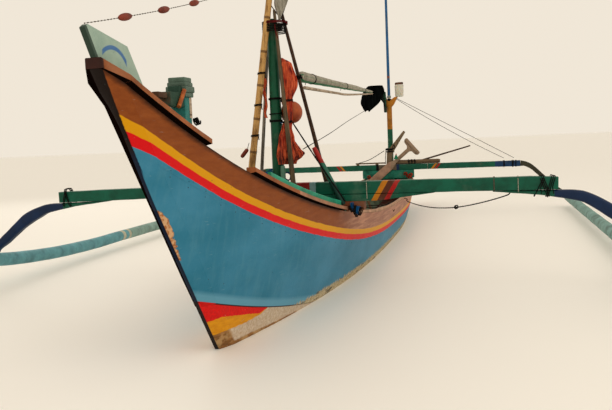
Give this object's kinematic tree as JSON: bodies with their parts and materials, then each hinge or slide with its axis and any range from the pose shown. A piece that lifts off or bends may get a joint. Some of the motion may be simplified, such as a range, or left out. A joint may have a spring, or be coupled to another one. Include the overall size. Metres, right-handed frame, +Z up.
{
  "type": "outrigger canoe",
  "caption": "Planked sailing canoe afloat, with two cross booms, crooked arms, a slim float on each side, a tripod mast, and a furled sail on a boom that lifts off its crutch.",
  "frame": {"origin": "amidships on the centreline, at the waterline", "axes": "+Z up, -Y towards the bow, +X to port"},
  "size_m": [6.05, 11.514, 4.88],
  "materials": {
    "hull_blue": "worn sky-blue oil paint",
    "dark_blue": "peeling dark blue oil paint",
    "striped": "orange-brown, yellow and red oil paint in bands",
    "rail": "worn orange-brown paint",
    "turquoise": "worn turquoise paint",
    "pale_green": "chalky pale green paint",
    "green": "dark green gloss paint",
    "yellow": "ochre yellow paint",
    "brown_wood": "dark weathered wood",
    "raw_wood": "bare weathered wood",
    "bamboo": "dry yellow bamboo",
    "float_blue": "bleached pale blue paint",
    "pole_blue": "blue paint",
    "sail_cloth": "weathered woven sailcloth",
    "net": "orange-red netting",
    "black_cloth": "black cloth",
    "ball": "sun-bleached plastic float",
    "jar": "milky plastic with a brown lid",
    "rope": "dark tarred rope"
  },
  "bodies": {
    "hull": {"keel_log": "hull_blue", "side_planks_port": "hull_blue", "top_planks_port": "striped", "frames_port": "raw_wood", "side_planks_stbd": "hull_blue", "top_planks_stbd": "striped", "frames_stbd": "raw_wood", "stem_post": "dark_blue", "stern_post": "dark_blue", "wale_port_bow": "rail", "wale_port": "rail", "wale_stbd": "rail", "washstrake_port": "turquoise", "washstrake_stbd": "turquoise", "bow_blade": "pale_green", "fore_deck": "turquoise", "aft_deck": "turquoise", "floor_boards": "raw_wood", "thwart_fore": "raw_wood", "thwart_mid": "raw_wood", "thwart_aft": "raw_wood", "mast_thwart": "raw_wood", "bitt": "pale_green", "fore_boom_port": "green", "fore_boom_stbd": "green", "fore_doubler": "green", "fore_bearer": "rail", "aft_boom": "green", "aft_bearer": "brown_wood", "fore_arm_port": "dark_blue", "aft_arm_port": "brown_wood", "fore_arm_stbd": "dark_blue", "aft_arm_stbd": "brown_wood", "float_port": "float_blue", "float_stbd": "float_blue", "mast": "green", "bamboo_pole": "bamboo", "grey_pole": "raw_wood", "side_spar": "raw_wood", "dark_spar": "brown_wood", "mast_cheek": "pale_green", "masthead_lashing": "rope", "sail_bundle": "sail_cloth", "net_bundle": "net", "ball_float": "ball", "boom_lashing": "rope", "crutch_post": "yellow", "signal_pole": "pole_blue", "jar": "jar", "crutch_strap": "black_cloth", "raked_stub": "raw_wood", "grey_plank": "raw_wood", "cross_pole": "raw_wood", "tee_paddle": "raw_wood", "red_top_stick": "green", "forestay": "rope", "slack_rope": "rope"},
    "sail_boom": {"furled_boom": "sail_cloth", "boom_spar": "bamboo", "cloth_bundle": "black_cloth"}
  },
  "joints": [
    {"name": "sail_boom_lift", "type": "hinge", "parent": "hull", "child": "sail_boom", "pos_m": [0.145, -2.698, 1.814], "axis": [1, 0, 0], "range_deg": [0, 60]}
  ]
}
